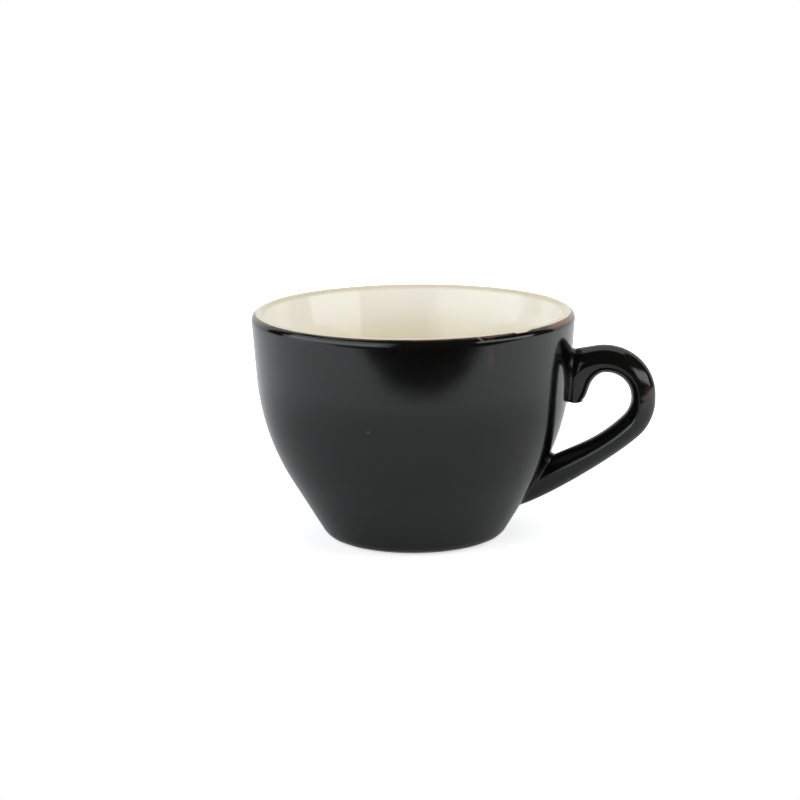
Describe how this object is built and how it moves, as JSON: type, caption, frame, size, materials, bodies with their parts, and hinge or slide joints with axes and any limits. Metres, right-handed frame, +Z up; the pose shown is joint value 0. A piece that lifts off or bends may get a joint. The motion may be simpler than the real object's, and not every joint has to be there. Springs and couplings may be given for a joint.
{
  "type": "cappuccino cup",
  "caption": "Handled stoneware cappuccino cup that holds a hot milk coffee, satin black outside with a glossy lip and a cream glazed inside.",
  "frame": {"origin": "centre of the foot ring, in the plane of the table", "axes": "+Z up along the cup's axis, +X towards the handle"},
  "size_m": [0.115, 0.092, 0.0657],
  "materials": {
    "clay": "bare fired stoneware, fine grained, wiped clean under the foot",
    "slip": "fired joining slip, hidden between the clay pieces",
    "cream_glaze": "smooth glossy cream liner glaze",
    "gloss_glaze": "glossy black glaze that breaks to brown where it runs thin",
    "satin_glaze": "satin black glaze with a few small pits"
  },
  "bodies": {
    "root": {"clay_bowl": "clay", "clay_handle": "clay", "upper_slip_joint": "slip", "lower_slip_joint": "slip", "liner_glaze": "cream_glaze", "rim_glaze": "gloss_glaze", "body_glaze": "satin_glaze", "recess_glaze": "satin_glaze", "handle_glaze": "gloss_glaze"}
  },
  "joints": []
}
